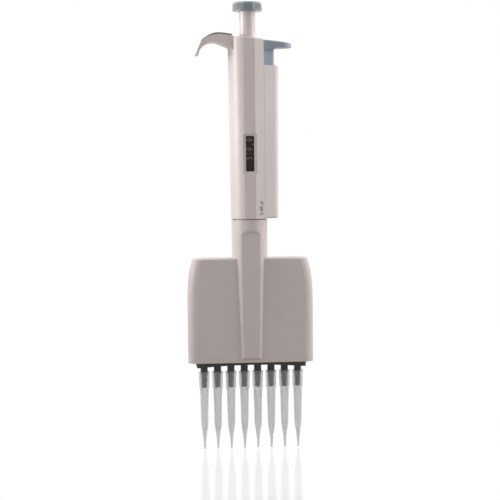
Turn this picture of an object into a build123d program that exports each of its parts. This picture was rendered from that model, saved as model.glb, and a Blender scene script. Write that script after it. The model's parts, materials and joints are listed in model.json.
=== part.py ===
from build123d import *
import math
import os

# Eight-channel adjustable micropipette.
# Z is the long axis of the handle; the origin lies on it, level with the tip ends.
# -X is the side of the finger hook, +X the side of the tip ejector, -Y the front with the
# volume display. All sizes are in millimetres.

# ---- shared sizes ------------------------------------------------------------------------
PITCH = 9.0  # standard spacing of the channels
CHANNELS = 8
CHANNEL_X = [(i - (CHANNELS - 1) / 2) * PITCH for i in range(CHANNELS)]
SIDES = (-1, 1)
CLEAR = 20.0  # cutting blocks reach this far, past the handle surface
FIT = 0.05  # gap around bushes and inserts

# handle and its cavity
HANDLE_Z0 = 154.3
HANDLE_LOFT_Z1 = 285.0  # upper loft section, above the slanted cut
HANDLE_FLAT_Y = 12.4  # front and back flats
HANDLE_FLAT_X = 3.65  # half width of those flats
HANDLE_REACH0, HANDLE_REACH1 = 12.3, 13.25  # reach of the rounded side, bottom and top
FACET_SLOPE = 0.507  # the side facets run from the flats to the rail
SEAM_X = 9.9  # plane between handle body and rail cover
TOP_LEFT, TOP_RIGHT = 275.75, 271.9  # height of the slanted top at x = -20 and x = +20
CAVITY_R = 10.8
CAVITY_X = 9.1  # flat inner wall beside the rail
CAVITY_Z1 = 270.9
RING_Z0, RING_Z1 = 166.4, 168.0  # inner shoulder of the handle
SLEEVE_R = 5.4
HEX_FLATS = 4.4  # plunger rod, across flats
HEX_Z1 = 284.0

# stem, ejector rod and side rods
STEM_R, STEM_BORE = 7.0, 4.5
EJECTOR_X = 14.0
EJECTOR_ROD_R = 1.75
SIDE_ROD_X, SIDE_ROD_Y, SIDE_ROD_R = 18.0, 5.3, 1.0
SIDE_ROD_Z0, SIDE_ROD_Z1 = 57.1, 117.0

os.makedirs("parts", exist_ok=True)


# ---- helpers -----------------------------------------------------------------------------
def cyl(radius, z0, z1, x=0.0, y=0.0):
    return Pos(x, y, (z0 + z1) / 2) * Cylinder(radius, z1 - z0)


def tube(outer_r, inner_r, z0, z1, x=0.0):
    return cyl(outer_r, z0, z1, x) - cyl(inner_r, z0 - 1, z1 + 1, x)


def block(x0, x1, y0, y1, z0, z1):
    return Pos((x0 + x1) / 2, (y0 + y1) / 2, (z0 + z1) / 2) * Box(x1 - x0, y1 - y0, z1 - z0)


def y_cyl(radius, y0, y1, x, z):
    return Pos(x, (y0 + y1) / 2, z) * (Rot(90, 0, 0) * Cylinder(radius, y1 - y0))


def in_space(axis, level, point):
    """Place a 2D point in the plane normal to axis; its values follow the order x, y, z."""
    u, v = point
    return {"x": (level, u, v), "y": (u, level, v), "z": (u, v, level)}[axis]


def polygon(axis, level, points):
    return make_face(Polyline(*[in_space(axis, level, p) for p in points], close=True))


def outline(axis, level, runs):
    """Face from runs: one point is a corner, three are an arc, more are a spline.
    Straight lines join runs that do not touch, and close the loop."""
    edges = []
    for i, run in enumerate(runs):
        points = [in_space(axis, level, p) for p in run]
        if len(run) > 1:
            edges.append(ThreePointArc(*points) if len(run) == 3 else Spline(*points))
        next_point = in_space(axis, level, runs[(i + 1) % len(runs)][0])
        if points[-1] != next_point:
            edges.append(Line(points[-1], next_point))
    return make_face(Curve() + edges)


def extruded(face, axis, length):
    return extrude(face, amount=length, dir=in_space(axis, 1, (0, 0)))


def prism(axis, start, end, points):
    return extruded(polygon(axis, start, points), axis, end - start)


def curved_prism(axis, start, end, runs):
    return extruded(outline(axis, start, runs), axis, end - start)


def both_sides(half):
    """Points at -Y, followed by their mirror images at +Y in reverse."""
    return half + [(x, -y) for x, y in reversed(half)]


def turned(profile, x=0.0):
    """Solid of revolution from (radius, z) points, on the vertical axis at x."""
    return Pos(x, 0, 0) * revolve(polygon("y", 0, profile), Axis.Z, 360)


def rounded_bar(half_x, half_y, corner_r, z0, z1):
    section = Pos(0, 0, z0) * RectangleRounded(2 * half_x, 2 * half_y, corner_r)
    return extruded(section, "z", z1 - z0)


def rounded_window(half_x, z0, z1, corner_r, y0, y1):
    section = Rot(90, 0, 0) * RectangleRounded(2 * half_x, z1 - z0, corner_r)
    return extruded(Pos(0, y0, (z0 + z1) / 2) * section, "y", y1 - y0)


def hexagon(across_flats, z0, z1):
    section = Pos(0, 0, z0) * RegularPolygon(across_flats / 2, 6, major_radius=False)
    return extruded(section, "z", z1 - z0)


def spring(mean_r, wire_r, z0, z1, coils, x=0.0):
    height = z1 - z0 - 2 * wire_r
    path = Helix(pitch=height / coils, height=height, radius=mean_r)
    wire = sweep(Plane(origin=path @ 0, z_dir=path % 0) * Circle(wire_r), path=path)
    return Pos(x, 0, z0 + wire_r) * wire


def left_of(x1, z0, z1):
    """Block from beyond the hook side of the handle up to x1."""
    return block(-CLEAR, x1, -CLEAR, CLEAR, z0, z1)


def soften(part, edges, radius):
    """Fillet with the largest radius that works; the part stays sharp if none does."""
    for scale in (1.0, 0.7, 0.4):
        # the kernel can refuse a fillet at one radius and accept a smaller one
        try:
            result = fillet(edges, radius * scale)
            if result.is_valid and result.volume > 0.5 * part.volume:
                return result
        except Exception:
            pass
    return part


def save(name, part):
    pieces = part if isinstance(part, list) else [part]
    solids = [solid for piece in pieces for solid in piece.solids()]
    shape = solids[0] if len(solids) == 1 else Compound(children=solids)
    export_step(shape, f"parts/{name}.step")


# ---- handle: outer form ------------------------------------------------------------------
def facet_y(x):
    return HANDLE_FLAT_Y - FACET_SLOPE * (x - HANDLE_FLAT_X)


def handle_section(z, reach):
    corners = both_sides([
        (-HANDLE_FLAT_X, -HANDLE_FLAT_Y),
        (HANDLE_FLAT_X, -HANDLE_FLAT_Y),
        (SEAM_X, -facet_y(SEAM_X)),
    ])
    rounded_side = [corners[5], (-reach, 0), corners[0]]
    return outline("z", z, [[p] for p in corners[:5]] + [rounded_side])


handle_outer = loft([
    handle_section(HANDLE_Z0, HANDLE_REACH0),
    handle_section(HANDLE_LOFT_Z1, HANDLE_REACH1),
])
top_line = [(-CLEAR, TOP_LEFT), (CLEAR, TOP_RIGHT), (CLEAR, 300), (-CLEAR, 300)]
handle_outer = handle_outer - prism("y", -CLEAR, CLEAR, top_line)
rim = [e for e in handle_outer.edges() if e.center().Z > 271]
handle_outer = soften(handle_outer, rim, 1.0)

# ---- finger hook: a curved arm with a round saddle underneath, to hang on a stand peg ----
SADDLE_X, SADDLE_Z, SADDLE_R = -23.1, 261.3, 9.9
HOOK_Y = 8.6  # half depth
# (x, z) along the top, from the handle to the free end
HOOK_TOP = [
    (-10.7, 276.15), (-13.4, 276.55), (-16.2, 276.95), (-19.9, 277.2),
    (-23.3, 276.75), (-25.6, 275.9), (-28.0, 274.5), (-30.3, 272.75),
    (-31.7, 270.9), (-32.8, 268.3), (-34.0, 265.5), (-35.2, 262.6),
]
# (x, z) under the root of the arm, from the saddle into the handle
HOOK_ROOT = [(-15.0, 268.75), (-12.1, 267.35), (-10.2, 265.9), (-8.6, 264.15)]
saddle = [
    (SADDLE_X + SADDLE_R * math.cos(angle), SADDLE_Z + SADDLE_R * math.sin(angle))
    for angle in map(math.radians, (171, 115, 59))
]
hook = curved_prism("y", -HOOK_Y, HOOK_Y, [
    HOOK_TOP, saddle, [saddle[-1]] + HOOK_ROOT,
    [(-6.0, 266.0)], [(-6.0, 274.0)], [(-10.7, 274.85)],
])
# the corners of the free end are rounded in plan
END_X = -33.4
end_corners = both_sides([(END_X, -HOOK_Y), (-35.02, -7.92), (-35.7, -6.3)])
hook = hook & curved_prism("z", 250, 290, [
    [(-3, -10)], [(END_X, -10)], end_corners[:3], end_corners[3:], [(END_X, 10)], [(-3, 10)],
])

# zone above a spline that follows the top line; it parts the inlay from the hook
INLAY_T = 1.15  # shift from the top line
INLAY_INSET = 0.8  # the strip stops short of both side faces
ZONE_X, ZONE_Z1 = -34.0, 282.0
inlay_top = HOOK_TOP[:8]
inlay_low = [(-10.3, 274.95)]
for i, (x, z) in enumerate(inlay_top[:-1]):
    before, after = inlay_top[max(0, i - 1)], inlay_top[i + 1]
    run_x, run_z = after[0] - before[0], after[1] - before[1]
    length = math.hypot(run_x, run_z)
    inlay_low.append((x + run_z / length * INLAY_T, z + run_x / length * INLAY_T))
inlay_low.append((-30.9, 271.4))
strip_zone = curved_prism("y", -HOOK_Y, HOOK_Y, [
    inlay_low, [(ZONE_X, 274.0)], [(ZONE_X, ZONE_Z1)], [(inlay_low[0][0], ZONE_Z1)],
])
side_edges = [
    e for e in hook.edges()
    if abs(abs(e.center().Y) - HOOK_Y) < 0.01 and e.center().X < -20 and e.length > 12
]
hook = soften(hook, side_edges, 0.5)
inlay_y = HOOK_Y - INLAY_INSET
save("hook_inlay", hook & strip_zone & block(-40, 0, -inlay_y, inlay_y, 250, 290))

# ---- handle body and window lens ---------------------------------------------------------
WINDOW_X, WINDOW_Z0, WINDOW_Z1 = 2.75, 185.7, 209.0  # opening over the number drums
WINDOW_CORNER = 0.6
BEZEL_X, BEZEL_Z0, BEZEL_Z1 = 4.4, 184.0, 210.3
BEZEL_Y = 11.6  # floor of the shallow frame around the window
LENS_GAP = 0.02
LENS_Y0, LENS_Y1 = -11.4, -10.7

inner = cyl(CAVITY_R, HANDLE_Z0 - 1, CAVITY_Z1) & left_of(CAVITY_X, HANDLE_Z0 - 2, 280)
ring = tube(CAVITY_R + 0.5, 9.65, RING_Z0, RING_Z1) & left_of(CAVITY_X + 0.2, 160, 170)
handle_body = handle_outer + (hook - strip_zone)
handle_body = handle_body - inner
handle_body = handle_body + ring
handle_body = handle_body - cyl(SLEEVE_R + 0.35, 265, 290)  # hole for the button sleeve
handle_body = handle_body - strip_zone
bezel = rounded_window(BEZEL_X, BEZEL_Z0, BEZEL_Z1, 0.8, -CLEAR, -BEZEL_Y)
opening = rounded_window(WINDOW_X, WINDOW_Z0, WINDOW_Z1, WINDOW_CORNER, -CLEAR, -8.0)
handle_body = handle_body - bezel - opening
# slot that lets the ejector arm reach the thrust sleeve
handle_body = handle_body - block(CAVITY_X - 1.5, SEAM_X + 1, -3.1, 3.1, 155.7, 166.7)
save("handle_body", handle_body)

save("window_lens", rounded_window(
    WINDOW_X - LENS_GAP, WINDOW_Z0 + LENS_GAP, WINDOW_Z1 - LENS_GAP,
    WINDOW_CORNER - LENS_GAP, LENS_Y0, LENS_Y1,
))

# ---- rail cover: closed channel along the side of the handle -----------------------------
RAIL_Z0, RAIL_Z1 = 154.5, 255.7
RAIL_X0, RAIL_X1 = 19.35, 20.2  # outer face, bottom and top
RAIL_CORNER = 5.2  # radius of the rounded outer edges
RAIL_SEAM_X = SEAM_X + 0.02
SHELF_Z0, SHELF_Z1 = 176.0, 178.0  # carries the return spring of the ejector
# (x, y) sections
CHANNEL = both_sides([(SEAM_X - 1, -6.95), (SEAM_X, -6.9), (17.9, -3.2)])
LEVER_STEM = both_sides([(10.3, -5.2), (16.2, -3.1), (17.3, -2.3)])
LEVER_HOLE = both_sides([(9.7, -5.6), (16.3, -3.3), (17.5, -2.4)])
SHELF = both_sides([(9.95, -6.95), (17.95, -3.25)])


def rail_section(z, reach):
    """The facets run on to the outer face and meet it in rounded corners."""
    lean = math.atan(FACET_SLOPE)
    tangent = RAIL_CORNER / math.tan((math.pi / 2 + lean) / 2)  # corner to tangent point
    corner_y = facet_y(reach)
    face_y = corner_y - tangent
    middle = -(math.pi / 2 - lean) / 2
    arcs = both_sides([
        (reach - tangent * math.cos(lean), -(corner_y + tangent * math.sin(lean))),
        (reach - RAIL_CORNER + RAIL_CORNER * math.cos(middle),
         -face_y + RAIL_CORNER * math.sin(middle)),
        (reach, -face_y),
    ])
    seam_y = facet_y(RAIL_SEAM_X)
    runs = [[(RAIL_SEAM_X, -seam_y)], arcs[:3], arcs[3:], [(RAIL_SEAM_X, seam_y)]]
    return outline("z", z, runs)


rail_outer = loft([rail_section(RAIL_Z0, RAIL_X0), rail_section(RAIL_Z1, RAIL_X1)])
end_edges = [
    e for e in rail_outer.edges()
    if (e.center().Z > RAIL_Z1 - 0.1 or e.center().Z < RAIL_Z0 + 0.1) and e.center().X > 12
]
rail_outer = soften(rail_outer, end_edges, 1.3)
rail_cover = rail_outer - prism("z", RAIL_Z0 + 1.2, RAIL_Z1 - 1.7, CHANNEL)
rail_cover = rail_cover - prism("z", RAIL_Z1 - 5, RAIL_Z1 + 5, LEVER_HOLE)
rail_cover = rail_cover + prism("z", SHELF_Z0, SHELF_Z1, SHELF)
rail_cover = rail_cover - cyl(EJECTOR_ROD_R + 0.1, 170, 180, EJECTOR_X)
save("rail_cover", rail_cover)

# ---- ejector: thumb lever, rod, foot and spring ------------------------------------------
LEVER_STEM_Z0 = 238.0
LEVER_Y = 6.5  # half depth before the plan is trimmed
ROD_TOP = 250.0
FOOT_ARM_Z0, FOOT_Z1 = 163.9, 166.2
THRUST_BORE = 7.3  # bore of the foot and of the thrust ring

lever = curved_prism("y", -LEVER_Y, LEVER_Y, [
    [(10.3, 266.0)],
    [(10.3, 272.65), (19.6, 271.55), (27.3, 270.45)],
    [(27.3, 270.45), (28.9, 269.8), (29.3, 268.6)],
    [(29.3, 268.6), (29.0, 267.7), (28.0, 267.35)],
    [(18.1, 267.1), (17.53, 266.86), (17.3, 266.3)],
    [(17.3, 266.0)],
])
lever = lever & curved_prism("z", 255, 280, [
    [(10.0, -5.3)], [(23.4, -6.4), (29.4, 0), (23.4, 6.4)], [(10.0, 5.3)],
])
ejector_lever = prism("z", LEVER_STEM_Z0, 268.5, LEVER_STEM) + lever
top_edges = [e for e in ejector_lever.edges() if e.center().Z > 269.5]
ejector_lever = soften(ejector_lever, top_edges, 0.8)
ejector_lever = ejector_lever - cyl(EJECTOR_ROD_R, LEVER_STEM_Z0 - 1, ROD_TOP, EJECTOR_X)
save("ejector_lever", ejector_lever)
save("ejector_rod", cyl(EJECTOR_ROD_R, FOOT_ARM_Z0, ROD_TOP, EJECTOR_X))

foot = tube(8.9, THRUST_BORE, 152.05, FOOT_Z1)
foot = foot + block(8.2, 16.0, -2.8, 2.8, FOOT_ARM_Z0, FOOT_Z1)
foot = foot + cyl(2.8, FOOT_ARM_Z0, 170.0, EJECTOR_X) - cyl(THRUST_BORE, 150, 170)
foot = foot - cyl(EJECTOR_ROD_R + 0.01, 160, 172, EJECTOR_X)
save("ejector_foot", foot)
save("ejector_spring", spring(mean_r=2.6, wire_r=0.35, z0=SHELF_Z1, z1=LEVER_STEM_Z0,
                              coils=18, x=EJECTOR_X))

# ---- plunger: push button, cap, sleeve, rod and springs ----------------------------------
KNOB_Z0, KNOB_Z1 = 291.5, 297.5
KNOB_R0, KNOB_R1 = 9.9, 9.45  # bottom and top
KNOB_GROOVES = 60
GROOVE_R, GROOVE_H = 0.36, 3.4
SLEEVE_Z1 = KNOB_Z0 + 3.6
CAP_SEAT_R, CAP_SEAT_Z = 5.6, KNOB_Z1 - 1.2
CAP_R = CAP_SEAT_R - FIT
COUNTER_Z1 = 213.0  # top of the upper plate of the counter frame
CUP_Z0 = 258.0

knob = turned([
    (0, SLEEVE_Z1), (SLEEVE_R, SLEEVE_Z1), (SLEEVE_R, KNOB_Z0),
    (KNOB_R0 - 0.35, KNOB_Z0), (KNOB_R0, KNOB_Z0 + 0.45), (KNOB_R0 - 0.15, KNOB_Z0 + 2.4),
    (KNOB_R1, KNOB_Z1 - 2.0), (KNOB_R1 - 0.25, KNOB_Z1 - 1.2),
    (KNOB_R1 - 0.7, KNOB_Z1 - 0.55), (KNOB_R1 - 1.35, KNOB_Z1 - 0.15),
    (KNOB_R1 - 2.1, KNOB_Z1), (CAP_SEAT_R, KNOB_Z1 - 0.02),
    (CAP_SEAT_R, CAP_SEAT_Z), (0, CAP_SEAT_Z),
])
groove_ring_r = KNOB_R0 + 0.22
groove_z = (KNOB_Z0 + KNOB_Z1) / 2 - 0.7
grooves = []
for i in range(KNOB_GROOVES):
    angle = 2 * math.pi * i / KNOB_GROOVES
    place = Pos(groove_ring_r * math.cos(angle), groove_ring_r * math.sin(angle), groove_z)
    grooves.append(place * Cylinder(GROOVE_R, GROOVE_H))
save("push_button", knob - grooves)
save("button_cap", turned([
    (0, CAP_SEAT_Z), (CAP_R, CAP_SEAT_Z), (CAP_R, KNOB_Z1 - 0.15),
    (5.2, KNOB_Z1 + 0.02), (0, KNOB_Z1 + 0.12),
]))
sleeve = cyl(SLEEVE_R, 262.05, SLEEVE_Z1) - hexagon(HEX_FLATS + 0.02, 261, HEX_Z1)
save("button_sleeve", sleeve)
save("plunger_rod", hexagon(HEX_FLATS, 150.05, HEX_Z1))
save("stop_collar", cyl(4.0, 181.0, 184.0) - hexagon(HEX_FLATS + 0.01, 180, 185))
save("spring_cup", turned([
    (2.7, 262.0), (2.7, CUP_Z0), (8.9, CUP_Z0), (8.9, 260.6), (8.4, 262.0),
]))
save("primary_spring", spring(mean_r=8.05, wire_r=0.6, z0=COUNTER_Z1, z1=CUP_Z0, coils=10))
cavity_fit = left_of(CAVITY_X - FIT, 150, 290)
save("top_bush", tube(CAVITY_R - FIT, SLEEVE_R + FIT, 264.4, 270.6) & cavity_fit)

# ---- volume setting: spindle, drums, pinions, counter frame, nut -------------------------
DRUM_R, DRUM_BORE = 8.7, 6.5
TENTHS_BORE = 6.4  # equal to the spindle radius
DRUM_PITCH, DRUM_H = 6.07, 5.87
DRUM_NAMES = ["tenths", "units", "tens", "hundreds"]  # from the top down
DRUM_Z = [206.5 - i * DRUM_PITCH for i in range(4)]
BAND_R, BAND_H = 8.05, 0.95  # narrow bands that the transfer pinions run against
PINION_ANGLE = math.radians(78)
PINION_X, PINION_Y = 9.4 * math.cos(PINION_ANGLE), 9.4 * math.sin(PINION_ANGLE)
PINION_HUB_R, PINION_TEETH = 0.95, 8
SHAFT_R = 0.5
FRAME_R = CAVITY_R - 0.1
FRAME_Z0 = 183.2
NUT_Z0, NUT_Z1 = 230.5, 237.5

spindle = turned([
    (0, 185.1), (6.2, 185.1), (TENTHS_BORE, 185.4), (TENTHS_BORE, 210.4), (5.0, 210.9),
    (4.6, 211.4), (4.6, 239.4), (4.2, 240.0), (0, 240.0),
])
save("volume_spindle", spindle - hexagon(HEX_FLATS + 0.2, 184, 241))


def drum(z, bore):
    z0, z1 = z - DRUM_H / 2, z + DRUM_H / 2
    return turned([
        (bore, z0), (BAND_R, z0), (BAND_R, z0 + BAND_H), (DRUM_R, z0 + BAND_H),
        (DRUM_R, z1 - BAND_H), (BAND_R, z1 - BAND_H), (BAND_R, z1), (bore, z1),
    ])


for name, z in zip(DRUM_NAMES, DRUM_Z):
    save(f"{name}_drum", drum(z, TENTHS_BORE if name == "tenths" else DRUM_BORE))


def pinion(z):
    """Small gear as tall as the two drum bands it spans."""
    gear = cyl(PINION_HUB_R, z - BAND_H, z + BAND_H, PINION_X, PINION_Y)
    tooth = Pos(0.9, 0, 0) * Box(0.7, 0.36, 2 * BAND_H)
    for i in range(PINION_TEETH):
        gear = gear + Pos(PINION_X, PINION_Y, z) * (Rot(0, 0, 360 * i / PINION_TEETH) * tooth)
    return gear - cyl(SHAFT_R + 0.05, z - 2, z + 2, PINION_X, PINION_Y)


for i in range(2):
    save(f"transfer_pinion_{i + 1}", pinion((DRUM_Z[i] + DRUM_Z[i + 1]) / 2))
save("pinion_shaft", cyl(SHAFT_R, 184.0, 212.0, PINION_X, PINION_Y))

# two plates joined by posts at the back, with a slotted guide tube on top
guide = tube(7.15, 5.75, COUNTER_Z1, 240.0) - block(-8, 8, -1.1, 1.1, 220.5, 241)
plates = cyl(FRAME_R, 211.2, COUNTER_Z1) - cyl(5.0, 210, 214)
plates = plates + (cyl(FRAME_R, FRAME_Z0, 184.9) - cyl(4.3, 180, 186))
wedges = prism("z", FRAME_Z0, COUNTER_Z1, [(0, 0), (20, 4.5), (20, 17)])
wedges = wedges + prism("z", FRAME_Z0, COUNTER_Z1, [(0, 0), (-20, 4.5), (-20, 17)])
frame = plates + (tube(FRAME_R, 9.1, FRAME_Z0, COUNTER_Z1) & wedges) + guide
frame = frame & cavity_fit
frame = frame - cyl(SHAFT_R, 183, 214, PINION_X, PINION_Y)
save("counter_frame", frame)

# the nut's two lugs run in the guide slots
lugs = block(-7.0, 7.0, -1.0, 1.0, NUT_Z0, NUT_Z1) - cyl(5.2, NUT_Z0 - 1, NUT_Z1 + 1)
save("volume_nut", tube(5.7, 4.65, NUT_Z0, NUT_Z1) + lugs)

# ---- head: stem and swivel ---------------------------------------------------------------
STEM_Z0 = 122.0
STEM_INNER_R = STEM_BORE - 0.6  # bore below the spring seat
SEAT_Z = 156.0
WASHER_Z0 = 168.8
PUSH_ROD_X, PUSH_ROD_R = 8.35, 0.95

head_stem = turned([
    (STEM_BORE, 178.0), (STEM_R - 0.5, 178.0), (STEM_R, 177.5), (STEM_R, 176.8),
    (6.2, 176.8), (6.2, 175.5), (STEM_R, 175.5),  # groove for the clip
    (STEM_R, STEM_Z0), (3.2, STEM_Z0), (3.2, 124.0), (STEM_INNER_R, 124.0),
    (STEM_INNER_R, 153.0), (2.9, 153.0), (2.9, SEAT_Z), (STEM_BORE, SEAT_Z),
])
flange = rounded_bar(15.0, 6.3, 3.0, STEM_Z0, 126.3) - cyl(5.0, 120, 128)
head_stem = head_stem + flange
for side in SIDES:
    head_stem = head_stem - cyl(PUSH_ROD_R + 0.1, 120, 128, side * PUSH_ROD_X)
save("head_stem", head_stem)
save("swivel_clip", tube(8.85, 6.25, 175.6, 176.7) - block(-1.8, 1.8, -12, 0, 175, 178))
swivel_bush = tube(CAVITY_R - FIT, STEM_R + FIT, RING_Z1 + FIT, 175.4) & cavity_fit
save("swivel_bush", swivel_bush)
save("blowout_spring", spring(mean_r=3.7, wire_r=0.4, z0=SEAT_Z, z1=WASHER_Z0, coils=5))
save("first_stop_washer", tube(4.3, 2.75, WASHER_Z0, 170.8))

# ---- head: housing halves and screws -----------------------------------------------------
HEAD_Z0, HEAD_Z1 = 58.5, 128.2
HEAD_Y = 8.0  # half depth of the wings
HEAD_EDGE = 6.6  # radius of the rounded ends
HEAD_HALF, HEAD_DRAW = 42.0, 3.6  # half width, and how far the shoulders draw in at the top
SHOULDER_Z = 98.0
SHOULDER_STEP = 3.2
TOP_ROLL = 1.2  # radius of the rolled top edge
ROLL_STEPS = 5
WALL = 1.5
NECK_R, NECK_Z1 = 11.9, 153.9
NECK_FLAT_Y, NECK_FLAT_Z1 = 10.2, 144.6
# spine on each face of the head: z, half width at the root, half width of the flat, y
SPINE = [
    (60.7, 6.72, 5.5, HEAD_Y + 0.02),
    (61.8, 6.75, 5.2, 9.65),
    (126.0, 8.78, 6.17, NECK_FLAT_Y),
]
CAVITY_LEVELS = [SHOULDER_Z, 104.0, 110.0, 116.0, 121.0, 126.4]
POSTS = [(-28.0, 116.0), (28.0, 116.0)]  # (x, z) of the round screw posts
BAR_SCREW_X, BAR_SCREW_Z = 27.0, 66.0
# x, z, y of the screw end
SCREWS = [(x, z, -5.4) for x, z in POSTS]
SCREWS += [(side * BAR_SCREW_X, BAR_SCREW_Z, 1.0) for side in SIDES]
SCREW_R = 1.0
SCREW_SEAT_Y, SCREW_TOP_Y = HEAD_Y - 0.9, HEAD_Y - 0.1


def half_width(z):
    rise = (z - SHOULDER_Z) / (HEAD_Z1 - SHOULDER_Z)
    return HEAD_HALF - HEAD_DRAW * rise**2.8


def wing_section(z, inset):
    width, depth = 2 * (half_width(z) - inset), 2 * (HEAD_Y - inset)
    return Pos(0, 0, z) * RectangleRounded(width, depth, HEAD_EDGE - inset)


def spine_section(z, root, flat, depth, side):
    half = [(-root, 5.0 * side), (-root, (HEAD_Y - 0.02) * side), (-flat, depth * side)]
    return polygon("z", z, half + [(-x, y) for x, y in reversed(half)])


# the shoulders curve in towards the top, and the top edge is rolled over in small steps
sections = [wing_section(SHOULDER_Z + SHOULDER_STEP * i, 0.0) for i in range(9)]
for i in range(ROLL_STEPS + 1):
    angle = math.radians(90 / ROLL_STEPS * i)
    roll_z = HEAD_Z1 - TOP_ROLL + TOP_ROLL * math.sin(angle)
    sections.append(wing_section(roll_z, TOP_ROLL * (1 - math.cos(angle))))
housing = rounded_bar(HEAD_HALF, HEAD_Y, HEAD_EDGE, HEAD_Z0, SHOULDER_Z)
housing = housing + loft(sections, ruled=True)

neck = cyl(NECK_R, 124.0, NECK_Z1)
for side in SIDES:
    neck = neck - prism("x", -20, 20, [
        (side * NECK_FLAT_Y, 120), (side * NECK_FLAT_Y, NECK_FLAT_Z1),
        (side * 12.4, NECK_FLAT_Z1 + 2.8), (side * 20, 151), (side * 20, 120),
    ])
neck_top = [e for e in neck.edges() if e.center().Z > NECK_Z1 - 0.05]
housing = housing + soften(neck, neck_top, 0.3)
for side in SIDES:
    housing = housing + loft([spine_section(*row, side) for row in SPINE], ruled=True)

cavity = rounded_bar(HEAD_HALF - WALL, HEAD_Y - WALL, HEAD_EDGE - WALL, 50.0, SHOULDER_Z)
cavity = cavity + loft([wing_section(z, WALL) for z in CAVITY_LEVELS], ruled=True)
shell = housing - cavity - cyl(9.7, 120.0, 160.0)
for x, z in POSTS:
    shell = shell + y_cyl(2.6, -HEAD_Y + 0.8, HEAD_Y - 0.8, x, z)
front = shell & block(-60, 60, -30, 0, 40, 160)
back = shell & block(-60, 60, 0, 30, 40, 160)
screws = []
for x, z, end_y in SCREWS:
    front = front - y_cyl(SCREW_R, -5.5, 1, x, z)
    back = back - y_cyl(SCREW_R + 0.05, -1, 20, x, z) - y_cyl(2.1, SCREW_SEAT_Y, 20, x, z)
    screw = y_cyl(SCREW_R, end_y, SCREW_SEAT_Y, x, z)
    screw = screw + y_cyl(2.0, SCREW_SEAT_Y, SCREW_TOP_Y, x, z)
    for size_x, size_z in ((2.4, 0.5), (0.5, 2.4)):  # cross slot
        screw = screw - (Pos(x, SCREW_TOP_Y, z) * Box(size_x, 1.0, size_z))
    screws.append(screw)
save("head_front_cover", front)
save("head_back_cover", back)
save("head_screws", screws)

# ---- head: nozzle bar, nozzles, seals, guides --------------------------------------------
BAR_Z0, BAR_Z1 = 62.0, 70.0
NOZZLE_Z1 = 80.0
SEAL_SEAT_Z = 76.0
POST_X, POST_R = 37.5, 1.5
PISTON_BAR_Z0, PISTON_BAR_Z1 = 98.0, 104.0
# (radius, z)
NOZZLE = [
    (0.9, 41.4), (1.6, 41.4), (1.75, 41.7), (1.95, 50.1), (2.45, 50.6), (2.45, 61.9),
    (3.19, BAR_Z0), (3.19, BAR_Z1), (3.7, BAR_Z1), (3.7, 71.4), (3.2, 71.4),
    (3.2, NOZZLE_Z1), (2.4, NOZZLE_Z1), (2.4, SEAL_SEAT_Z), (1.45, SEAL_SEAT_Z),
    (1.45, 57.0), (0.9, 56.0),
]

bar = rounded_bar(40.4, 6.4, 6.2, BAR_Z0, BAR_Z1)
for x in CHANNEL_X:
    bar = bar - cyl(3.2, 60, 72, x)
for side in SIDES:
    bar = bar - cyl(POST_R, 60, 72, side * POST_X)
    bar = bar - cyl(SIDE_ROD_R + 0.15, 60, 72, side * SIDE_ROD_X, SIDE_ROD_Y)
    bar = bar - y_cyl(SCREW_R, 1.0, 10, side * BAR_SCREW_X, BAR_SCREW_Z)
save("nozzle_bar", bar)
save("nozzles", [turned(NOZZLE, x) for x in CHANNEL_X])
save("piston_seals", [tube(2.38, 1.28, SEAL_SEAT_Z + FIT, 79.0, x) for x in CHANNEL_X])
retainer = rounded_bar(34.6, 3.4, 3.2, NOZZLE_Z1, 82.0)
for x in CHANNEL_X:
    retainer = retainer - cyl(1.7, 79, 83, x)
save("seal_retainer", retainer)
save("guide_posts", [cyl(POST_R, BAR_Z0, 112.0, side * POST_X) for side in SIDES])
save("carriage_springs", [
    spring(mean_r=1.92, wire_r=0.3, z0=BAR_Z1, z1=PISTON_BAR_Z0, coils=9, x=side * POST_X)
    for side in SIDES
])

# ---- carriage: piston bar, pistons, stem -------------------------------------------------
PISTON_R, PISTON_Z1 = 1.25, 101.0
SPIGOT_R, SPIGOT_Z0 = 2.0, 100.0  # lower end of the stem, set into the bar

carriage = rounded_bar(39.9, 3.4, 3.35, PISTON_BAR_Z0, PISTON_BAR_Z1)
for x in CHANNEL_X:
    carriage = carriage - cyl(PISTON_R, 97, PISTON_Z1, x)
for side in SIDES:
    carriage = carriage - cyl(POST_R + 0.06, 97, 105, side * POST_X)
save("piston_bar", carriage - cyl(SPIGOT_R, SPIGOT_Z0, 105))
PISTON = [(0, 72.0), (1.0, 72.0), (PISTON_R, 72.4), (PISTON_R, PISTON_Z1), (0, PISTON_Z1)]
save("pistons", [turned(PISTON, x) for x in CHANNEL_X])
save("carriage_stem", turned([
    (0, SPIGOT_Z0), (SPIGOT_R, SPIGOT_Z0), (SPIGOT_R, PISTON_BAR_Z1), (3.0, PISTON_BAR_Z1),
    (3.0, 149.5), (2.6, 150.0), (0, 150.0),
]))

# ---- stripper: thrust ring, rods, yoke, plate --------------------------------------------
THRUST_Z0 = 149.0
YOKE_Z0, YOKE_Z1 = 114.0, 118.0
PLATE_Z0, PLATE_MID_Z0, PLATE_Z1 = 55.2, 56.9, 58.4  # the underside arches up mid-width
PLATE_X1, PLATE_X0 = 37.0, 36.4  # half width, top and bottom

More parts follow.
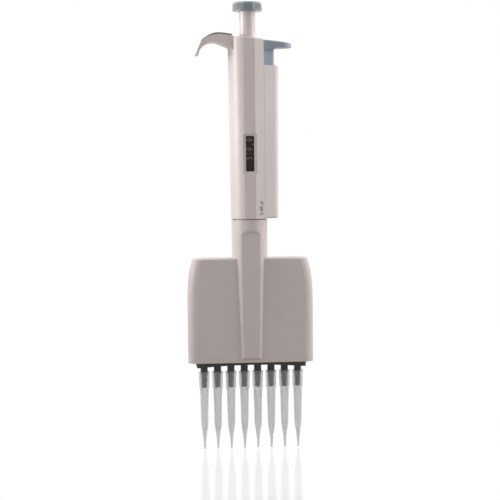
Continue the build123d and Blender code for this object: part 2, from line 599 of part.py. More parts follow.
save("thrust_ring", tube(9.4, THRUST_BORE, THRUST_Z0, 152.0))
save("push_rods", [cyl(PUSH_ROD_R, YOKE_Z1, THRUST_Z0, side * PUSH_ROD_X) for side in SIDES])
side_rods = [
    cyl(SIDE_ROD_R, SIDE_ROD_Z0, SIDE_ROD_Z1, side * SIDE_ROD_X, SIDE_ROD_Y) for side in SIDES
]
save("side_rods", side_rods)
yoke = rounded_bar(20.5, 6.3, 3.0, YOKE_Z0, YOKE_Z1) - cyl(3.4, 110, 120)
for side in SIDES:
    yoke = yoke - cyl(SIDE_ROD_R, 113, SIDE_ROD_Z1, side * SIDE_ROD_X, SIDE_ROD_Y)
save("stripper_yoke", yoke)

plate = curved_prism("y", -10, 10, [
    [(-PLATE_X0, PLATE_Z0), (0, PLATE_MID_Z0), (PLATE_X0, PLATE_Z0)],
    [(PLATE_X1, PLATE_Z1)], [(-PLATE_X1, PLATE_Z1)],
])
plate = plate & rounded_bar(PLATE_X1, 6.9, 3.5, 50, 60)
for x in CHANNEL_X:
    plate = plate - cyl(2.65, 50, 60, x)
for side in SIDES:
    plate = plate - cyl(SIDE_ROD_R, SIDE_ROD_Z0, 60, side * SIDE_ROD_X, SIDE_ROD_Y)
save("stripper_plate", plate)

# ---- tips --------------------------------------------------------------------------------
TIP_Z1 = 52.2
# (radius, z): up the outside, then down the bore
TIP = [
    (0.28, 0.0), (0.66, 0.0), (0.80, 2.5), (1.02, 5.9), (1.38, 9.2), (1.90, 12.6),
    (2.38, 15.9), (2.50, 19.3), (2.62, 26.0), (2.75, 32.7), (2.95, 39.8), (3.36, 41.2),
    (3.42, 41.7), (3.60, 50.4), (3.74, 50.8), (3.74, 51.9), (3.62, TIP_Z1),
    (2.56, TIP_Z1), (2.53, 50.4), (2.42, 40.2), (2.28, 32.7), (2.14, 26.0), (2.02, 19.3),
    (1.90, 16.2), (1.44, 12.9), (0.95, 9.4), (0.62, 6.0), (0.42, 2.5),
]
for i, x in enumerate(CHANNEL_X):
    save(f"tip_{i + 1}", turned(TIP, x))
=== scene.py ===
# A hand-held pipette with a push button, number drums behind a window and a head with
# ejectable tips. It stands upright along +Z with the tips down and the button on top.
# The window and the camera are on the -Y side, called the front. Units are metres; sizes
# in millimetres are multiplied by MM.
import json
import math

import bmesh
import bpy
import numpy as np
from mathutils import Matrix, Vector


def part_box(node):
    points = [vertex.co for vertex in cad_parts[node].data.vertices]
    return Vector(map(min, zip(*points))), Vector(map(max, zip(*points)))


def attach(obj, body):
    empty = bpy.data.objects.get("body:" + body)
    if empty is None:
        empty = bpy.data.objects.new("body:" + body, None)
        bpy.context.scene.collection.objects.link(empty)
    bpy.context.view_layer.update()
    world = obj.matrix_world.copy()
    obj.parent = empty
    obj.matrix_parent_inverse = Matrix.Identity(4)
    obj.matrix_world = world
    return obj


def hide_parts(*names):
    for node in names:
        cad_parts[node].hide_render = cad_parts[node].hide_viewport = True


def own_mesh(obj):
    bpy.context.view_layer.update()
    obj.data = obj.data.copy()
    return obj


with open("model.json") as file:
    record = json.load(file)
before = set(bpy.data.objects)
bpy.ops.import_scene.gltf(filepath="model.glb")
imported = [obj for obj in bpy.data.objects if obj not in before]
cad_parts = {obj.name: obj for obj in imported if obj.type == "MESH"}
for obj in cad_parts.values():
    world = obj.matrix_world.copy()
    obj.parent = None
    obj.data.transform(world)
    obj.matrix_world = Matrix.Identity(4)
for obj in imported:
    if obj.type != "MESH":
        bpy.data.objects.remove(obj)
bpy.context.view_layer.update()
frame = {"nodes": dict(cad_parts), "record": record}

NODES = frame["nodes"]
SLOT = {part["node"]: part["material_slot"] for part in frame["record"]["subparts"]}
scene = bpy.context.scene
MM = 0.001


def add_object(name, data):
    obj = bpy.data.objects.new(name, data)
    scene.collection.objects.link(obj)
    return obj


# ------------------------------------------------------------------------------------------
# shader node helpers
# ------------------------------------------------------------------------------------------
NOISE_SPAN = (0.3, 0.7)  # the part of the noise range that holds most of its values


def add_node(tree, kind, inputs=None, **settings):
    """Add a node; each input, by name or index, is either a value or a socket to link."""
    node = tree.nodes.new("ShaderNode" + kind)
    for key, value in settings.items():
        setattr(node, key, value)
    for key, value in (inputs or {}).items():
        if isinstance(value, bpy.types.NodeSocket):
            tree.links.new(value, node.inputs[key])
        else:
            node.inputs[key].default_value = value
    return node


def new_material(name):
    """An empty material, its node tree and its object coordinates."""
    material = bpy.data.materials.new(name)
    material.use_nodes = True
    tree = material.node_tree
    tree.nodes.clear()
    return material, tree, add_node(tree, "TexCoord").outputs["Object"]


def set_surface(tree, shader):
    add_node(tree, "OutputMaterial", {"Surface": shader}, location=(900, 0))


def noise(tree, vector, scale, detail=3.0, rough=0.55, distortion=0.0):
    return add_node(tree, "TexNoise", {
        "Scale": scale,
        "Detail": detail,
        "Roughness": rough,
        "Distortion": distortion,
        "Vector": vector,
    }).outputs["Fac"]


def stretched(tree, vector, scale):
    """Coordinates scaled per axis; a low scale draws a texture out along that axis."""
    return add_node(tree, "Mapping", {"Scale": scale, "Vector": vector}).outputs["Vector"]


def ramp(tree, value, span=NOISE_SPAN, to=(0.0, 1.0), **settings):
    return add_node(tree, "MapRange", {
        "From Min": span[0],
        "From Max": span[1],
        "To Min": to[0],
        "To Max": to[1],
        "Value": value,
    }, **settings).outputs["Result"]


def math_node(tree, operation, first, second):
    return add_node(tree, "Math", {0: first, 1: second}, operation=operation).outputs[0]


def colour_mix(tree, share, first, second):
    """Blend two colours, each an RGB tuple or a socket; share is the part of the second."""
    first, second = ((*c, 1.0) if isinstance(c, tuple) else c for c in (first, second))
    mix = add_node(tree, "Mix", {0: share, 6: first, 7: second}, data_type="RGBA")
    return mix.outputs[2]


def mix_shader(tree, share, first, second):
    return add_node(tree, "MixShader", {0: share, 1: first, 2: second}).outputs[0]


def scaled(colour, factor):
    return tuple(min(1.0, channel * factor) for channel in colour)


def bump(tree, height, strength, distance, normal=None):
    inputs = {"Strength": strength, "Distance": distance, "Height": height}
    if normal is not None:
        inputs["Normal"] = normal
    return add_node(tree, "Bump", inputs).outputs["Normal"]


# ------------------------------------------------------------------------------------------
# materials
# ------------------------------------------------------------------------------------------
def plastic(name, colour, rough, grain=1400.0, grain_depth=0.012, mottle=0.035,
            sheen=0.0, coat=0.0, sss=0.0, scuffs=0.0, edge=0.0):
    """Moulded plastic: cloudy colour, fine grain, roughness drift and handling marks.

    grain_depth and edge, the radius of the softened edges, are in millimetres.
    """
    material, tree, position = new_material(name)
    cloud = noise(tree, position, scale=38.0, detail=4.0, rough=0.6)
    fleck = noise(tree, position, scale=900.0, detail=2.0, rough=0.5)
    base = colour_mix(
        tree, ramp(tree, cloud), scaled(colour, 1 - mottle), scaled(colour, 1 + mottle))
    fleck_share = ramp(tree, fleck, span=(0.35, 0.75), to=(0.0, 0.25))
    base = colour_mix(tree, fleck_share, base, scaled(colour, 0.93))
    drift = noise(tree, position, scale=85.0, detail=3.0, rough=0.5)
    roughness = ramp(tree, drift, to=(rough - 0.05, rough + 0.06))
    if scuffs > 0:
        # marks drawn out along the height
        along = stretched(tree, position, (260.0, 260.0, 22.0))
        streak = noise(tree, along, scale=1.0, detail=5.0, rough=0.7, distortion=0.4)
        mark = ramp(tree, streak, span=(0.62, 0.78), to=(0.0, scuffs))
        roughness = math_node(tree, "ADD", roughness, mark)
        mark_share = math_node(tree, "MULTIPLY", mark, 0.6)
        base = colour_mix(tree, mark_share, base, scaled(colour, 0.86))
    inputs = {"Base Color": base, "Roughness": roughness}
    if coat > 0:
        inputs |= {"Coat Weight": coat, "Coat Roughness": 0.12}
    if sss > 0:
        inputs |= {
            "Subsurface Weight": sss,
            "Subsurface Radius": (1.0, 0.8, 0.7),
            "Subsurface Scale": 1.2 * MM,
        }
    if sheen > 0:
        inputs |= {"Sheen Weight": sheen, "Sheen Roughness": 0.4}
    fine = noise(tree, position, scale=grain, detail=2.0, rough=0.6)
    wave = noise(tree, position, scale=60.0, detail=2.0, rough=0.5)
    height = math_node(tree, "ADD", fine, math_node(tree, "MULTIPLY", wave, 1.5))
    soft_edge = None
    if edge > 0:
        soft_edge = add_node(tree, "Bevel", {"Radius": edge * MM}, samples=4).outputs["Normal"]
    inputs["Normal"] = bump(
        tree, height, strength=0.35, distance=grain_depth * MM, normal=soft_edge)
    set_surface(tree, add_node(tree, "BsdfPrincipled", inputs).outputs["BSDF"])
    return material


def metal(name, colour, rough, lines):
    """Drawn or turned metal with slight tarnish; lines is the tool-line scale per axis."""
    material, tree, position = new_material(name)
    fine = noise(tree, stretched(tree, position, lines), scale=1.0, detail=4.0, rough=0.6)
    cloud = noise(tree, position, scale=120.0, detail=3.0, rough=0.55)
    base = colour_mix(tree, ramp(tree, cloud), scaled(colour, 0.88), scaled(colour, 1.05))
    shader = add_node(tree, "BsdfPrincipled", {
        "Metallic": 1.0,
        "Base Color": base,
        "Roughness": ramp(tree, fine, to=(rough - 0.08, rough + 0.12)),
        "Normal": bump(tree, fine, strength=0.25, distance=0.01 * MM),
    })
    set_surface(tree, shader.outputs["BSDF"])
    return material


def tip_material(name):
    """Thin milky polypropylene, denser seen edge on, with faint flow lines lengthwise."""
    material, tree, position = new_material(name)
    along = stretched(tree, position, (900.0, 900.0, 30.0))
    flow = noise(tree, along, scale=1.0, detail=3.0, rough=0.55)
    tint = colour_mix(tree, ramp(tree, flow), (0.86, 0.84, 0.847), (0.93, 0.91, 0.917))
    milky = add_node(tree, "BsdfPrincipled", {
        "Base Color": tint,
        "Roughness": ramp(tree, flow, to=(0.22, 0.34)),
        "Subsurface Weight": 0.35,
        "Subsurface Radius": (1.0, 0.95, 0.9),
        "Subsurface Scale": 1.5 * MM,
        "Normal": bump(tree, flow, strength=0.15, distance=0.02 * MM),
    })
    clear = add_node(tree, "BsdfTransparent", {"Color": (0.93, 0.925, 0.93, 1.0)})
    facing = add_node(tree, "LayerWeight", {"Blend": 0.35}).outputs["Facing"]
    edge_share = ramp(tree, facing, span=(0.0, 1.0), to=(0.17, 0.62))
    share = math_node(tree, "ADD", edge_share, ramp(tree, flow, to=(-0.03, 0.03)))
    set_surface(tree, mix_shader(tree, share, clear.outputs[0], milky.outputs["BSDF"]))
    return material


def lens_material(name):
    """Clear window, more reflective at grazing angles."""
    material, tree, position = new_material(name)
    wave = noise(tree, position, scale=220.0, detail=2.0, rough=0.5)
    gloss = add_node(tree, "BsdfGlossy", {
        "Color": (1, 1, 1, 1),
        "Roughness": ramp(tree, wave, to=(0.04, 0.10)),
    })
    clear = add_node(tree, "BsdfTransparent", {"Color": (0.96, 0.93, 0.90, 1.0)})
    fresnel = add_node(tree, "LayerWeight", {"Blend": 0.25}).outputs["Fresnel"]
    share = ramp(tree, fresnel, span=(0.0, 1.0), to=(0.012, 0.6))
    set_surface(tree, mix_shader(tree, share, clear.outputs[0], gloss.outputs[0]))
    return material


def ink_material(name, colour):
    """Printed ink: slightly uneven coverage."""
    material, tree, position = new_material(name)
    cover = noise(tree, position, scale=2600.0, detail=3.0, rough=0.6)
    base = colour_mix(tree, ramp(tree, cover), scaled(colour, 0.85), scaled(colour, 1.1))
    shader = add_node(tree, "BsdfPrincipled", {"Base Color": base, "Roughness": 0.5})
    set_surface(tree, shader.outputs["BSDF"])
    return material


GREY = (0.755, 0.658, 0.642)
MATERIALS = {
    "grey_shell": plastic(
        "handle_plastic", GREY, rough=0.38, grain_depth=0.010, sss=0.04, scuffs=0.06, edge=0.35),
    "head_shell": plastic(
        "head_plastic", scaled(GREY, 0.94), rough=0.44, grain=1100.0, grain_depth=0.016,
        sss=0.04, scuffs=0.05, edge=0.45),
    "button_blue": plastic(
        "button_plastic", (0.235, 0.297, 0.318), rough=0.24, grain_depth=0.004, mottle=0.05,
        coat=0.5),
    "lever_blue": plastic(
        "lever_plastic", (0.395, 0.45, 0.525), rough=0.36, grain_depth=0.008, mottle=0.04,
        edge=0.3),
    "inlay_blue": plastic(
        "inlay_rubber", (0.185, 0.222, 0.232), rough=0.62, grain=2200.0, grain_depth=0.02,
        sheen=0.15, edge=0.25),
    "sleeve_grey": plastic(
        "sleeve_plastic", scaled(GREY, 1.04), rough=0.34, grain_depth=0.003, coat=0.12,
        sss=0.03),
    "black_plastic": plastic(
        "black_plastic", (0.035, 0.034, 0.032), rough=0.40, grain_depth=0.010, mottle=0.12),
    "drum_black": plastic(
        "drum_plastic", (0.034, 0.026, 0.020), rough=0.45, grain_depth=0.004, mottle=0.15),
    "clear_lens": lens_material("window_plastic"),
    "tip_plastic": tip_material("tip_polypropylene"),
    "bush_plastic": plastic("acetal", (0.74, 0.73, 0.69), rough=0.33, grain_depth=0.003),
    "steel": metal("ground_steel", (0.60, 0.60, 0.61), rough=0.24, lines=(500.0, 500.0, 60.0)),
    "spring_steel": metal(
        "spring_wire", (0.50, 0.50, 0.52), rough=0.30, lines=(700.0, 700.0, 700.0)),
    "brass_nut": metal(
        "turned_brass", (0.78, 0.60, 0.30), rough=0.25, lines=(60.0, 60.0, 900.0)),
    "seal_rubber": plastic(
        "seal_rubber", (0.03, 0.03, 0.03), rough=0.6, grain_depth=0.008, mottle=0.1),
}
for node, obj in NODES.items():
    obj.data.materials.clear()
    obj.data.materials.append(MATERIALS[SLOT[node]])

INK_PALE = ink_material("digit_ink", (0.62, 0.61, 0.60))
INK_GREY = ink_material("range_ink", (0.10, 0.095, 0.095))


# ------------------------------------------------------------------------------------------
# helpers for new pieces
# ------------------------------------------------------------------------------------------
def mesh_object(name, verts, faces, material, body, smooth=False):
    mesh = bpy.data.meshes.new(name)
    mesh.from_pydata([tuple(v) for v in verts], [], faces)
    mesh.validate()
    mesh.update()
    bm = bmesh.new()
    bm.from_mesh(mesh)
    bmesh.ops.remove_doubles(bm, verts=bm.verts, dist=1e-7)
    bmesh.ops.recalc_face_normals(bm, faces=bm.faces)
    bm.to_mesh(mesh)
    bm.free()
    for face in mesh.polygons:
        face.use_smooth = smooth
    obj = add_object(name, mesh)
    mesh.materials.append(material)
    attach(obj, body)
    return obj


def glyph_mesh(text, size, width=1.0, depth=0.03 * MM, bold=0.0):
    """Text as a thin triangle mesh centred in x and y: points and faces.

    width scales the letters in x, depth extrudes each way in z, bold swells the outline.
    """
    curve = bpy.data.curves.new("glyph", "FONT")
    curve.body = text
    curve.size = size
    curve.align_x = "CENTER"
    curve.resolution_u = 6
    curve.extrude = depth
    curve.offset = bold
    obj = add_object("glyph", curve)
    bpy.context.view_layer.update()
    depsgraph = bpy.context.evaluated_depsgraph_get()
    mesh = bpy.data.meshes.new_from_object(obj.evaluated_get(depsgraph))
    bm = bmesh.new()
    bm.from_mesh(mesh)
    bmesh.ops.remove_doubles(bm, verts=bm.verts, dist=1e-8)
    bmesh.ops.triangulate(bm, faces=bm.faces)
    points = np.array([vert.co[:] for vert in bm.verts], float)
    faces = [[vert.index for vert in face.verts] for face in bm.faces]
    bm.free()
    bpy.data.objects.remove(obj)
    bpy.data.curves.remove(curve)
    points[:, 0] *= width
    points[:, :2] -= (points.min(0)[:2] + points.max(0)[:2]) / 2
    return points, faces


# ------------------------------------------------------------------------------------------
# number drums: ten printed digits wrapped round each, reading along +Z, their tops
# towards -X at the front
# ------------------------------------------------------------------------------------------
DRUM_R = 8.7 * MM
DIGIT_SIZE = 5.2 * MM
DIGIT_WIDTH = 0.72  # of the font's own width
DIGIT_LIFT = 0.012 * MM  # middle of the ink above the drum
DIGIT_PITCH = 36.0  # degrees


def drum_digits(name, node, body, values):
    lo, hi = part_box(node)
    z_middle = (lo.z + hi.z) / 2
    verts, faces = [], []
    for k, digit in enumerate(values):
        bearing = math.radians(DIGIT_PITCH * k)
        points, triangles = glyph_mesh(digit, DIGIT_SIZE, width=DIGIT_WIDTH)
        first = len(verts)
        for x, y, z in points:
            angle = bearing - y / DRUM_R
            radius = DRUM_R + DIGIT_LIFT + z
            verts.append((radius * math.sin(angle), -radius * math.cos(angle), z_middle + x))
        faces += [[i + first for i in triangle] for triangle in triangles]
    mesh_object(name, verts, faces, INK_PALE, body)


def falling_digits(start):
    return [str((start - k) % 10) for k in range(10)]


drum_digits("tenths_digits", "tenths_drum", "spindle", ["0", "5"] * 5)
drum_digits("units_digits", "units_drum", "units_counter", falling_digits(0))
drum_digits("tens_digits", "tens_drum", "tens_counter", falling_digits(5))

# ------------------------------------------------------------------------------------------
# decimal point: a thin disc just inside the window, between the units and tenths drums
# ------------------------------------------------------------------------------------------
DOT_X = 1.85 * MM  # at the base line of the digits
DOT_R = 0.42 * MM
DOT_STEPS = 24
DOT_GAPS = (0.01 * MM, 0.05 * MM)  # its two faces, behind the window


def build_decimal_point():
    z_dot = (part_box("tenths_drum")[0].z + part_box("units_drum")[1].z) / 2
    window_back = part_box("window_lens")[1].y
    verts = []
    for i in range(DOT_STEPS):
        angle = 2 * math.pi * i / DOT_STEPS
        x, z = DOT_X + DOT_R * math.cos(angle), z_dot + DOT_R * math.sin(angle)
        verts += [(x, window_back + gap, z) for gap in DOT_GAPS]
    faces = [
        [2 * i for i in range(DOT_STEPS)],
        [2 * i + 1 for i in reversed(range(DOT_STEPS))],
    ]
    for i in range(DOT_STEPS):
        j = (i + 1) % DOT_STEPS
        faces.append([2 * i, 2 * j, 2 * j + 1, 2 * i + 1])
    mesh_object("decimal_point", verts, faces, INK_PALE, "handle")


build_decimal_point()

# ------------------------------------------------------------------------------------------
# range marking: reads along +Z on the handle's slanted facet right of the front
# ------------------------------------------------------------------------------------------
FACET_START = (3.65, -12.4)  # x and y in mm where the facet begins
FACET_SLOPE = 0.507  # rise in y per x
MARK_X, MARK_Z = 7.45, 161.4  # mm
MARK_SIZE = 3.3 * MM
MARK_DEPTH = 0.02 * MM
MARK_BOLD = 0.06 * MM
MARK_LIFT = 0.025 * MM


def build_range_marking():
    points, faces = glyph_mesh("5-50 µl", MARK_SIZE, depth=MARK_DEPTH, bold=MARK_BOLD)
    slant = math.atan(FACET_SLOPE)
    letter_up = Vector((-math.cos(slant), -math.sin(slant), 0))
    outward = Vector((math.sin(slant), -math.cos(slant), 0))
    mark_y = FACET_START[1] + FACET_SLOPE * (MARK_X - FACET_START[0])
    centre = Vector((MARK_X * MM, mark_y * MM, MARK_Z * MM)) + outward * MARK_LIFT
    verts = [centre + Vector((0, 0, 1)) * x + letter_up * y + outward * z for x, y, z in points]
    mesh_object("range_marking", verts, faces, INK_GREY, "handle")


build_range_marking()

# ------------------------------------------------------------------------------------------
# push button: turned body, fine vertical ribs round the skirt, a smooth flat panel front
# and back, each with slanted flanks
# ------------------------------------------------------------------------------------------
BUTTON_STEPS = 528
RIB_STEPS = 8  # steps per rib
PANEL_STEPS = 23  # half width of a panel
FLANK_STEPS = 41  # from a panel's middle to the end of its flank
STEP = 2 * math.pi / BUTTON_STEPS
SKIRT_R = 9.8  # mm
PANEL_Y = 9.78  # mm from the axis to a panel
GRIP_HIGHLIGHT_MIN_R = 9.1  # mm; the paler grip colour, a painted highlight, lies outside this radius
GRIP_HIGHLIGHT_TOP = 5.5  # mm; and below this height
BUTTON_PROFILE = [
    # radius mm, height above the lower face mm, rib depth mm, share of the panel's shape
    (5.47, 3.65, 0, 0),
    (5.47, 0.10, 0, 0),
    (5.65, 0.0, 0, 0),
    (9.00, 0.0, 0.0, 0),
    (9.36, 0.03, 0.02, 0.5),
    (9.66, 0.16, 0.10, 1),
    (9.82, 0.40, 0.22, 1),
    (9.86, 0.75, 0.36, 1),
    (9.84, 1.6, 0.42, 1),
    (9.80, 2.6, 0.42, 1),
    (9.74, 3.6, 0.42, 1),
    (9.66, 4.3, 0.40, 1),
    (9.52, 4.85, 0.30, 1),
    (9.30, 5.25, 0.18, 1),
    (9.00, 5.58, 0.07, 0.95),
    (8.60, 5.83, 0.0, 0.9),
    (8.15, 5.96, 0.0, 0.6),
    (7.60, 6.0, 0.0, 0.0),
    (6.60, 6.0, 0.0, 0.0),
    (5.85, 6.0, 0.0, 0.0),
    (5.68, 5.93, 0.0, 0.0),
    (5.62, 5.8, 0.0, 0.0),
    (5.62, 4.84, 0.0, 0.0),
]


def skirt_plan(i):
    """Radius of the skirt's plan at step i over the plain circle's, and 1 where ribbed."""
    # steps from the middle of the nearer panel
    k = (i - 3 * BUTTON_STEPS // 4) % BUTTON_STEPS
    k = min(k, BUTTON_STEPS - k)
    k = min(k, BUTTON_STEPS // 2 - k)
    angle = k * STEP
    if k <= PANEL_STEPS:
        return PANEL_Y / math.cos(angle) / SKIRT_R, 0.0
    if k <= FLANK_STEPS:
        # where the ray at this angle meets the line from the panel's edge to the circle
        edge_x, edge_y = PANEL_Y * math.tan(PANEL_STEPS * STEP), PANEL_Y
        run_x = SKIRT_R * math.sin(FLANK_STEPS * STEP) - edge_x
        run_y = SKIRT_R * math.cos(FLANK_STEPS * STEP) - edge_y
        slope = math.tan(angle)
        along = (slope * edge_y - edge_x) / (run_x - slope * run_y)
        return math.hypot(edge_x + along * run_x, edge_y + along * run_y) / SKIRT_R, 0.0
    return 1.0, 1.0


def build_button():
    z_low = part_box("push_button")[0].z
    plan = [skirt_plan(i) for i in range(BUTTON_STEPS)]
    verts, faces = [], []
    for radius, height, rib_depth, panel_share in BUTTON_PROFILE:
        for i, (scale, ribbed) in enumerate(plan):
            angle = 2 * math.pi * i / BUTTON_STEPS
            phase = (i % RIB_STEPS) / RIB_STEPS
            groove = (0.5 - 0.5 * math.cos(2 * math.pi * phase)) ** 0.8
            r = radius * (1 + (scale - 1) * panel_share) - ribbed * rib_depth * groove
            verts.append((
                r * MM * math.cos(angle), r * MM * math.sin(angle), z_low + height * MM))
    for k in range(len(BUTTON_PROFILE) - 1):
        low, high = k * BUTTON_STEPS, (k + 1) * BUTTON_STEPS
        for i in range(BUTTON_STEPS):
            j = (i + 1) % BUTTON_STEPS
            faces.append([low + i, low + j, high + j, high + i])
    # discs close the recesses below and above
    last_ring = (len(BUTTON_PROFILE) - 1) * BUTTON_STEPS
    low_centre = len(verts)
    high_centre = low_centre + 1
    verts += [(0, 0, z_low + BUTTON_PROFILE[end][1] * MM) for end in (0, -1)]
    for i in range(BUTTON_STEPS):
        j = (i + 1) % BUTTON_STEPS
        faces.append([low_centre, j, i])
        faces.append([high_centre, last_ring + i, last_ring + j])
    button = mesh_object(
        "push_button_ribbed", verts, faces, MATERIALS["button_blue"], "knob",
        smooth=True)
    # the ribbed grip is matt, and its paler colour is a painted highlight: a lit copy of the
    # button colour that stands in for the side light and sheen the ribs catch
    button.data.materials.append(plastic(
        "button_grip_painted_highlight", (0.47, 0.49, 0.50), rough=0.46, grain_depth=0.006, mottle=0.05))
    for face in button.data.polygons:
        x, y, z = face.center
        turn = math.atan2(y, x) / (2 * math.pi)
        i = round(turn * BUTTON_STEPS - 0.5) % BUTTON_STEPS
        ribbed = plan[i][1] > 0 and plan[(i + 1) % BUTTON_STEPS][1] > 0
        if ribbed and math.hypot(x, y) > GRIP_HIGHLIGHT_MIN_R * MM and z < z_low + GRIP_HIGHLIGHT_TOP * MM:
            face.material_index = 1
    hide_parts("push_button")


build_button()

# ------------------------------------------------------------------------------------------
# springs: each coil gets its own copy of the CAD mesh in spring steel and is fixed to its body,
# and the CAD coil is hidden
# ------------------------------------------------------------------------------------------
SPRINGS = (
    # node, body, joint, z of the fixed end, length, travel (mm)
    ("primary_spring", "handle", "plunger_press", 213.0, 45.0, 14.0),
    ("ejector_spring", "handle", "ejector_press", 178.0, 60.0, 8.0),
    ("blowout_spring", "head", "plunger_press", 156.0, 12.8, 3.92),
    ("carriage_springs", "head", "plunger_press", 70.0, 28.0, 14.0),
)
for node, body, joint, z_fixed, length, travel in SPRINGS:
    coil = add_object(node + "_coil", NODES[node].data.copy())
    coil.matrix_world = NODES[node].matrix_world.copy()
    coil.data.materials.clear()
    coil.data.materials.append(MATERIALS["spring_steel"])
    for face in coil.data.polygons:
        face.material_index = 0
    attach(coil, body)
    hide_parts(node)
    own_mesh(coil)

# ------------------------------------------------------------------------------------------
# floor: a pale level sheet that curves up into a backdrop behind the object
# ------------------------------------------------------------------------------------------
FLOOR_HALF_WIDTH = 2.5
FLOOR_FRONT, FLOOR_BACK = -2.2, 0.8  # y of the level part
SWEEP_R, SWEEP_STEPS = 0.6, 16
BACKDROP_TOP = 2.2
FLOOR_DROP = 0.2 * MM  # keeps the sheet clear of what stands on it


def floor_material():
    """White to camera and in reflections, faintly polished where level; dull otherwise."""
    material, tree, position = new_material("pale_floor")
    cloud = noise(tree, position, scale=3.0, detail=2.0, rough=0.5)
    white = colour_mix(tree, ramp(tree, cloud), (0.985, 0.985, 0.985), (1.0, 1.0, 1.0))
    glow = add_node(tree, "Emission", {"Color": white, "Strength": 1.01})
    gloss = add_node(tree, "BsdfGlossy", {
        "Color": (1.0, 1.0, 1.0, 1.0),
        "Roughness": ramp(tree, cloud, to=(0.07, 0.10)),
    })
    # 0 round the object, 1 towards the backdrop
    depth = add_node(tree, "SeparateXYZ", {0: position}).outputs["Y"]
    away = ramp(tree, depth, span=(0.30, 0.80))
    # mostly clear to the camera round the object, so that released tips stay in sight
    # below the surface
    rays = add_node(tree, "LightPath").outputs
    hole = add_node(tree, "BsdfTransparent").outputs[0]
    clearness = ramp(tree, away, span=(0.0, 1.0), to=(0.9, 0.0))
    clear_share = math_node(tree, "MULTIPLY", rays["Is Camera Ray"], clearness)
    clear = mix_shader(tree, clear_share, glow.outputs[0], hole)
    polish = ramp(tree, away, span=(0.0, 1.0), to=(0.25, 0.0))
    bright = mix_shader(tree, polish, clear, gloss.outputs[0])
    dull = add_node(tree, "BsdfDiffuse", {"Color": (0.34, 0.33, 0.33, 1.0)})
    seen = math_node(tree, "MAXIMUM", rays["Is Camera Ray"], rays["Is Glossy Ray"])
    above = mix_shader(tree, seen, dull.outputs[0], bright)
    # seen from below, the sheet doesn't hide the object
    backfacing = add_node(tree, "NewGeometry").outputs["Backfacing"]
    below = math_node(tree, "MULTIPLY", backfacing, rays["Is Camera Ray"])
    set_surface(tree, mix_shader(tree, below, above, hole))
    return material


def build_floor():
    path = [(FLOOR_FRONT, 0.0), (FLOOR_BACK, 0.0)]
    for i in range(1, SWEEP_STEPS + 1):
        angle = math.radians(90 * i / SWEEP_STEPS)
        path.append((
            FLOOR_BACK + SWEEP_R * math.sin(angle), SWEEP_R - SWEEP_R * math.cos(angle)))
    path.append((FLOOR_BACK + SWEEP_R, BACKDROP_TOP))
    verts = [
        (x, y, z - FLOOR_DROP) for y, z in path for x in (-FLOOR_HALF_WIDTH, FLOOR_HALF_WIDTH)]
    faces = [[2 * i, 2 * i + 1, 2 * i + 3, 2 * i + 2] for i in range(len(path) - 1)]
    mesh = bpy.data.meshes.new("studio_floor")
    mesh.from_pydata(verts, [], faces)
    for face in mesh.polygons:
        face.use_smooth = True
    floor = add_object("studio_floor", mesh)
    mesh.materials.append(floor_material())


build_floor()

# ------------------------------------------------------------------------------------------
# world: soft light from both sides and behind, weaker from the camera's side
# ------------------------------------------------------------------------------------------
WORLD_SIDE, WORLD_FRONT = 2.05, 0.30  # strengths
WORLD_EDGE = (0.38, 0.68)  # bearing values between which side light fades to front light
WORLD_SEEN = 1.015  # strength the camera sees
WORLD_FACING = (-0.13, -1.0, 0.0)  # roughly from the object towards the camera


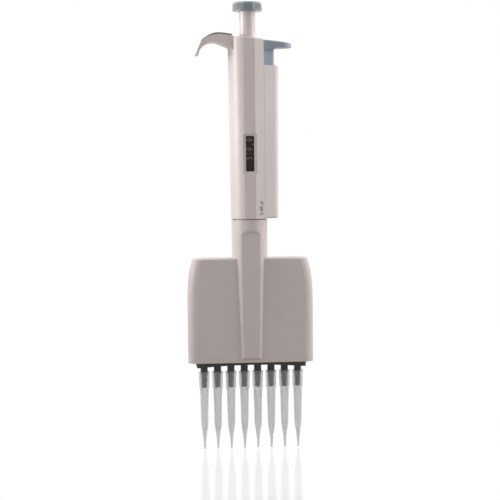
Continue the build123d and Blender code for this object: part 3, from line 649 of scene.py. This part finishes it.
def build_world():
    world = bpy.data.worlds.new("studio")
    scene.world = world
    world.use_nodes = True
    tree = world.node_tree
    tree.nodes.clear()
    direction = add_node(tree, "TexCoord").outputs["Generated"]
    # bearing of a direction round the object: about 1 towards the camera, -1 behind
    flat = add_node(tree, "VectorMath", {0: direction, 1: (1.0, 1.0, 0.0)}, operation="MULTIPLY")
    unit = add_node(tree, "VectorMath", {0: flat.outputs[0]}, operation="NORMALIZE")
    bearing = add_node(
        tree, "VectorMath", {0: unit.outputs[0], 1: WORLD_FACING}, operation="DOT_PRODUCT")
    light = ramp(
        tree, bearing.outputs["Value"], span=WORLD_EDGE, to=(WORLD_SIDE, WORLD_FRONT),
        interpolation_type="SMOOTHSTEP")
    camera_ray = add_node(tree, "LightPath").outputs["Is Camera Ray"]
    strength = add_node(
        tree, "Mix", {0: camera_ray, 2: light, 3: WORLD_SEEN}, data_type="FLOAT").outputs[0]
    # warmer from the front, cooler from the sides
    side_share = ramp(tree, light, span=(WORLD_FRONT, WORLD_SIDE))
    tint = colour_mix(tree, side_share, (1.0, 0.975, 0.965), (0.972, 1.0, 1.0))
    tint = colour_mix(tree, camera_ray, tint, (1.0, 0.998, 0.996))
    background = add_node(tree, "Background", {"Strength": strength, "Color": tint})
    add_node(tree, "OutputWorld", {"Surface": background.outputs[0]})


build_world()


# ------------------------------------------------------------------------------------------
# lights and camera
# ------------------------------------------------------------------------------------------
def softbox(name, place, target, size, power, spread=180.0):
    """Rectangular area light aimed at target; spread in degrees."""
    light = bpy.data.lights.new(name, "AREA")
    light.shape = "RECTANGLE"
    light.size, light.size_y = size
    light.energy = power
    light.color = (1, 1, 1)
    light.spread = math.radians(spread)
    obj = add_object(name, light)
    obj.location = place
    obj.rotation_mode = "QUATERNION"
    obj.rotation_quaternion = (Vector(target) - Vector(place)).to_track_quat("-Z", "Y")


softbox("softbox_left", place=(-0.80, -0.10, 0.30), target=(0, 0, 0.24),
        size=(0.35, 0.20), power=0.11, spread=24.0)
softbox("softbox_right", place=(0.80, 0.02, 0.30), target=(0, 0, 0.24),
        size=(0.35, 0.20), power=0.03, spread=24.0)
softbox("softbox_top", place=(0.0, 0.2, 1.1), target=(0, 0, 0.15), size=(0.9, 0.9), power=0.8)

CAMERA_TARGET = Vector((0.00024, 0.0, 0.13326))
CAMERA_BEARING = math.radians(-5.0)  # from the front; negative is towards -X
CAMERA_DISTANCE = 0.95  # in plan
CAMERA_HEIGHT = 0.187
CAMERA_ROLL = math.radians(-0.627)

camera_data = bpy.data.cameras.new("camera")
camera = add_object("camera", camera_data)
camera_data.sensor_width = 36.0
camera_data.lens = 102.46
camera_data.clip_start, camera_data.clip_end = 0.01, 20.0
camera.location = (
    CAMERA_TARGET.x + CAMERA_DISTANCE * math.sin(CAMERA_BEARING),
    CAMERA_TARGET.y - CAMERA_DISTANCE * math.cos(CAMERA_BEARING),
    CAMERA_HEIGHT,
)
aim = (CAMERA_TARGET - camera.location).to_track_quat("-Z", "Y")
camera.rotation_mode = "QUATERNION"
camera.rotation_quaternion = aim @ Matrix.Rotation(CAMERA_ROLL, 4, "Z").to_quaternion()
scene.camera = camera

scene.view_settings.view_transform = "Standard"
scene.view_settings.look = "None"
scene.view_settings.exposure = 0.0
scene.view_settings.gamma = 1.0
